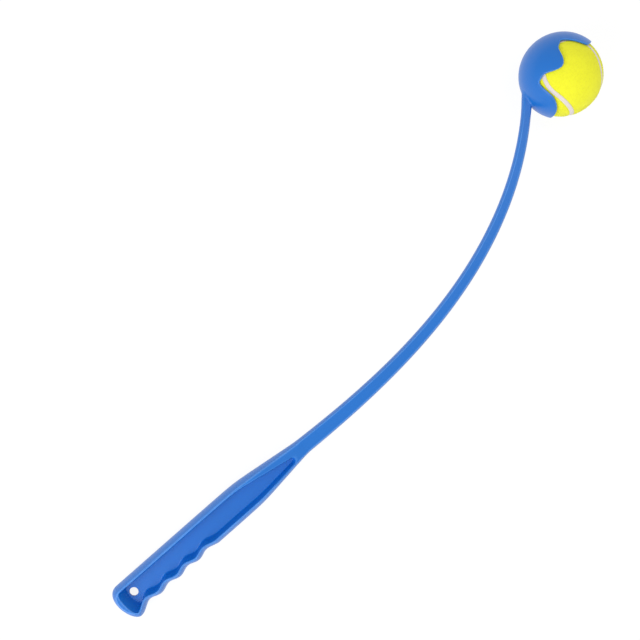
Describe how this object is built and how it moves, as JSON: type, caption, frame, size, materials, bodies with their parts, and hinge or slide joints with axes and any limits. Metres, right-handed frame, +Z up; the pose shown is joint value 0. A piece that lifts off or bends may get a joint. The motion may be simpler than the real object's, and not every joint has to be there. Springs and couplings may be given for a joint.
{
  "type": "dog tennis ball launcher",
  "caption": "Long dog ball launcher: a recessed grip with finger grooves and a hanging hole, a tapering curved shaft, and a pronged cup that holds a felt tennis ball until it is thrown.",
  "frame": {"origin": "centre of the hanging hole, half way through the web of the handle", "axes": "+X along the handle towards the cup, +Y to the back of the handle, +Z up as the launcher lies on a table on its butt and the side of its cup"},
  "size_m": [0.5806, 0.1368, 0.0677],
  "materials": {
    "moulded_plastic": "satin",
    "felt": "matte",
    "seam_cement": "matte",
    "core_rubber": "matte"
  },
  "bodies": {
    "launcher": {"handle": "moulded_plastic", "shaft": "moulded_plastic", "cup": "moulded_plastic"},
    "ball": {"core_half_a": "core_rubber", "core_half_b": "core_rubber", "felt_panel_a": "felt", "felt_panel_b": "felt", "seam": "seam_cement"}
  },
  "joints": [
    {"name": "ball_release", "type": "slide", "parent": "launcher", "child": "ball", "axis": [0.4191, -0.9078, 0.0173], "range_m": [0, 0.07]}
  ]
}
